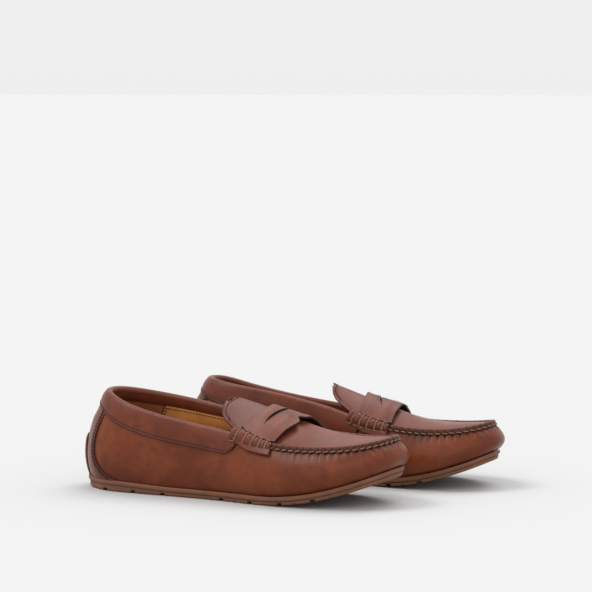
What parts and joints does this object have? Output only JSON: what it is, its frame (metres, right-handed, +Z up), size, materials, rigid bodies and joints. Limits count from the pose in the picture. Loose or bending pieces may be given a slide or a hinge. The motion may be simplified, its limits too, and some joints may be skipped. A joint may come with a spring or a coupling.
{
  "type": "penny loafer pair",
  "caption": "Pair of moccasin-toe penny loafers with slotted saddle straps, beef rolls, padded collars and rubber soles that bend at the ball.",
  "frame": {"origin": "bottom centre of the box around the pair, on the ground", "axes": "+X from heel to toe along the right shoe, +Y to the wearer's left, +Z up"},
  "size_m": [0.2826, 0.2022, 0.0722],
  "materials": {
    "leather": "waxed smooth full-grain, semi-gloss",
    "trim": "waxed smooth full-grain, semi-gloss",
    "lining": "matt tan lining leather",
    "heel_lining": "brushed, suede side out",
    "board": "matt fibre board",
    "foam": "open foam",
    "stiffener": "matt formed stiffener",
    "rubber": "matt moulded"
  },
  "bodies": {
    "right_shoe": {"right_outsole_rear": "rubber", "right_insole_board_rear": "board", "right_footbed_rear": "lining", "right_quarter": "leather", "right_vamp_fold_outer": "leather", "right_vamp_fold_inner": "leather", "right_back_strap": "trim", "right_collar_band": "leather", "right_collar_foam": "foam", "right_heel_lining": "heel_lining", "right_quarter_lining_outer": "lining", "right_quarter_lining_inner": "lining", "right_heel_counter": "stiffener", "right_apron_rear": "leather", "right_apron_fold": "leather", "right_saddle_strap": "trim", "right_beef_roll_outer": "trim", "right_beef_roll_inner": "trim"},
    "right_forefoot": {"right_outsole_front": "rubber", "right_insole_board_front": "board", "right_footbed_front": "lining", "right_vamp_front": "leather", "right_vamp_lining": "lining", "right_toe_puff": "stiffener", "right_apron_front": "leather"},
    "right_tongue_flap": {"right_tongue": "leather", "right_tongue_lining": "lining"},
    "left_shoe": {"left_outsole_rear": "rubber", "left_insole_board_rear": "board", "left_footbed_rear": "lining", "left_quarter": "leather", "left_vamp_fold_outer": "leather", "left_vamp_fold_inner": "leather", "left_back_strap": "trim", "left_collar_band": "leather", "left_collar_foam": "foam", "left_heel_lining": "heel_lining", "left_quarter_lining_outer": "lining", "left_quarter_lining_inner": "lining", "left_heel_counter": "stiffener", "left_apron_rear": "leather", "left_apron_fold": "leather", "left_saddle_strap": "trim", "left_beef_roll_outer": "trim", "left_beef_roll_inner": "trim"},
    "left_forefoot": {"left_outsole_front": "rubber", "left_insole_board_front": "board", "left_footbed_front": "lining", "left_vamp_front": "leather", "left_vamp_lining": "lining", "left_toe_puff": "stiffener", "left_apron_front": "leather"},
    "left_tongue_flap": {"left_tongue": "leather", "left_tongue_lining": "lining"}
  },
  "joints": [
    {"name": "left_lift_off", "type": "slide", "parent": "right_shoe", "child": "left_shoe", "axis": [0, 0, 1], "range_m": [0, 0.12]},
    {"name": "right_forefoot_flex", "type": "hinge", "parent": "right_shoe", "child": "right_forefoot", "pos_m": [0.04089, -0.05595, 0.00786], "axis": [0, -1, 0], "range_deg": [0, 20], "stiffness_Nm_per_rad": 2, "deforming": ["right_vamp_fold_outer", "right_vamp_fold_inner", "right_apron_fold"]},
    {"name": "right_tongue_lift", "type": "hinge", "parent": "right_shoe", "child": "right_tongue_flap", "pos_m": [-0.00161, -0.05595, 0.0652], "axis": [0.1961, 0.9806, 0], "range_deg": [0, 25], "stiffness_Nm_per_rad": 0.1},
    {"name": "left_forefoot_flex", "type": "hinge", "parent": "left_shoe", "child": "left_forefoot", "pos_m": [0.07059, 0.05541, 0.00786], "axis": [0.0576, -0.9983, 0], "range_deg": [0, 20], "stiffness_Nm_per_rad": 2, "deforming": ["left_vamp_fold_outer", "left_vamp_fold_inner", "left_apron_fold"]},
    {"name": "left_tongue_lift", "type": "hinge", "parent": "left_shoe", "child": "left_tongue_flap", "pos_m": [0.02816, 0.05297, 0.0652], "axis": [-0.2522, 0.9677, 0], "range_deg": [0, 25], "stiffness_Nm_per_rad": 0.1}
  ]
}
